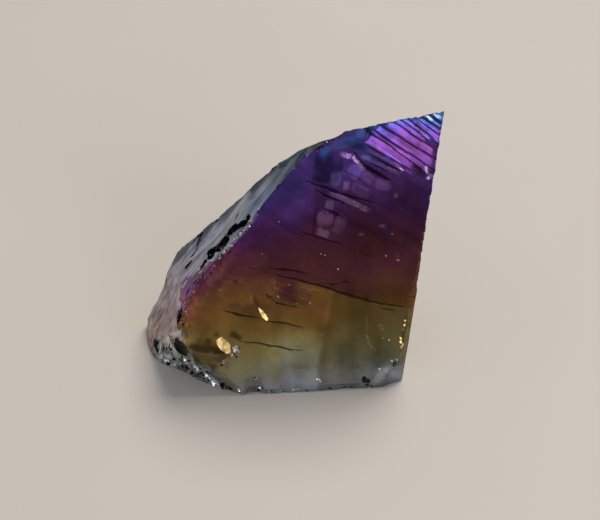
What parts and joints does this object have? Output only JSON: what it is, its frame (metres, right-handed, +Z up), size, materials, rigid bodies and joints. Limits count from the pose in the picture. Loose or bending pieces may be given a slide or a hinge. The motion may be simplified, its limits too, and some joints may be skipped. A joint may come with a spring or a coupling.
{
  "type": "aura obsidian shard",
  "caption": "Raw knapped shard of volcanic glass with an iridescent metal-oxide skin, standing on a flat foot with its broad face leaning back under a ridged pointed tip.",
  "frame": {"origin": "bottom centre of the stone's bounding box, on the surface it stands on", "axes": "+Z up, -Y towards the side that the broad coloured face looks to, +X towards the tip"},
  "size_m": [0.025, 0.0152, 0.0225],
  "materials": {
    "oxide_skin": "opaque black volcanic glass under an iridescent metal-oxide skin, smooth and metallic"
  },
  "bodies": {
    "root": {"obsidian_shard": "oxide_skin"}
  },
  "joints": []
}
